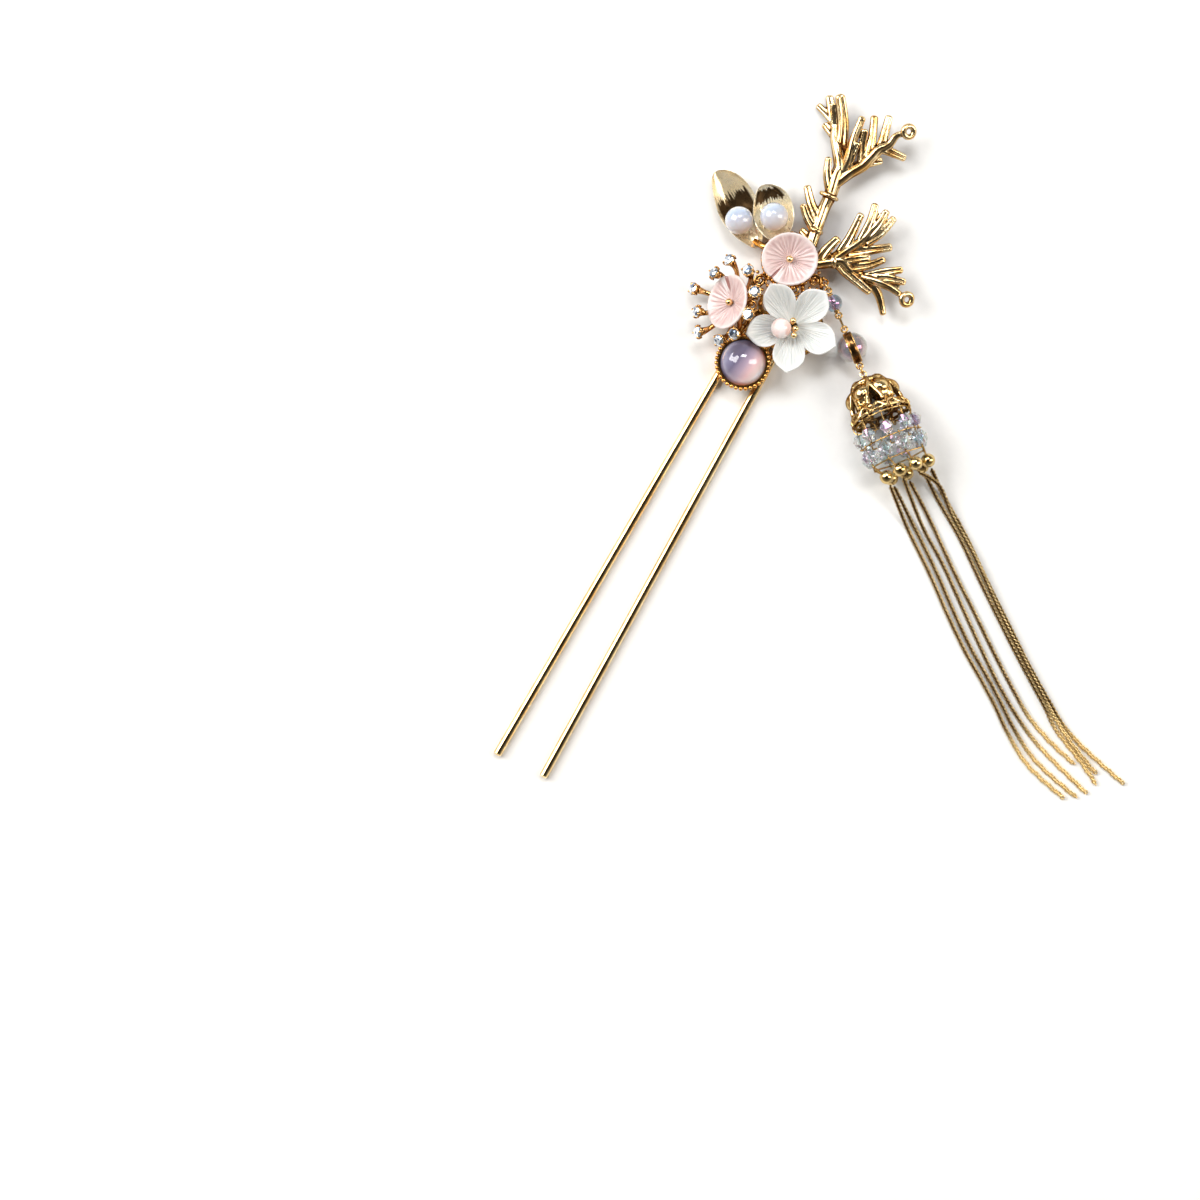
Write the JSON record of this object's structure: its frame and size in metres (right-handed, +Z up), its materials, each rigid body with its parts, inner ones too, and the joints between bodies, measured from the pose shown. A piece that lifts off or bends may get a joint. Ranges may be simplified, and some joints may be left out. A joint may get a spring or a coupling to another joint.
{
  "type": "buyao hairpin",
  "caption": "Gold hair fork with a pierced head of shell flowers, leaves, stones and cast coral branches, and a tassel of crystals and fine chains.",
  "frame": {"origin": "centre of the footprint, on the surface that the hairpin lies on", "axes": "+Y from the prong tips towards the head, +Z up through the face of the head, +X to the side where the tassel lies"},
  "size_m": [0.139, 0.1567, 0.0152],
  "materials": {
    "gold": "bright gold plating on brass, darker in the hollows",
    "chain_gold": "gold-plated fine chain",
    "white_shell": "frosted, slightly clear, veined",
    "pink_shell": "polished pale pink shell, fluted",
    "pearl": "pearl lustre",
    "milky_glass": "milky polished glass",
    "moonstone_glass": "polished, lilac grey with a pink glow",
    "clear_stone": "faceted, clear",
    "iridescent_crystal": "faceted, clear with an iridescent coat"
  },
  "bodies": {
    "root": {"hair_fork": "gold", "filigree_base": "gold", "cabochon": "moonstone_glass", "white_flower": "white_shell", "pearl": "pearl", "stamens": "gold", "pink_flower_upper": "pink_shell", "flower_pin_upper": "gold", "stone_burst": "gold", "pink_flower_lower": "pink_shell", "flower_pin_lower": "gold", "rhinestone_01": "clear_stone", "rhinestone_02": "clear_stone", "rhinestone_03": "clear_stone", "rhinestone_04": "clear_stone", "rhinestone_05": "clear_stone", "rhinestone_06": "clear_stone", "rhinestone_07": "clear_stone", "rhinestone_08": "clear_stone", "rhinestone_09": "clear_stone", "rhinestone_10": "clear_stone", "leaf_spray": "gold", "opal_bead_1": "milky_glass", "opal_bead_2": "milky_glass", "coral_upper_branch": "gold", "coral_lower_branch": "gold", "top_link": "gold", "eye_pin_small": "gold", "crystal_small": "iridescent_crystal", "long_oval_link": "gold", "eye_pin_large": "gold", "crystal_large": "iridescent_crystal", "cap_link": "gold", "lantern_cap": "gold", "net_wire": "gold", "net_hooks": "gold", "net_crystals_upper": "iridescent_crystal", "net_crystals_lower": "iridescent_crystal", "net_balls": "gold", "chain_1": "chain_gold", "chain_2": "chain_gold", "chain_3": "chain_gold", "chain_4": "chain_gold", "chain_5": "chain_gold", "chain_6": "chain_gold", "chain_7": "chain_gold"}
  },
  "joints": []
}
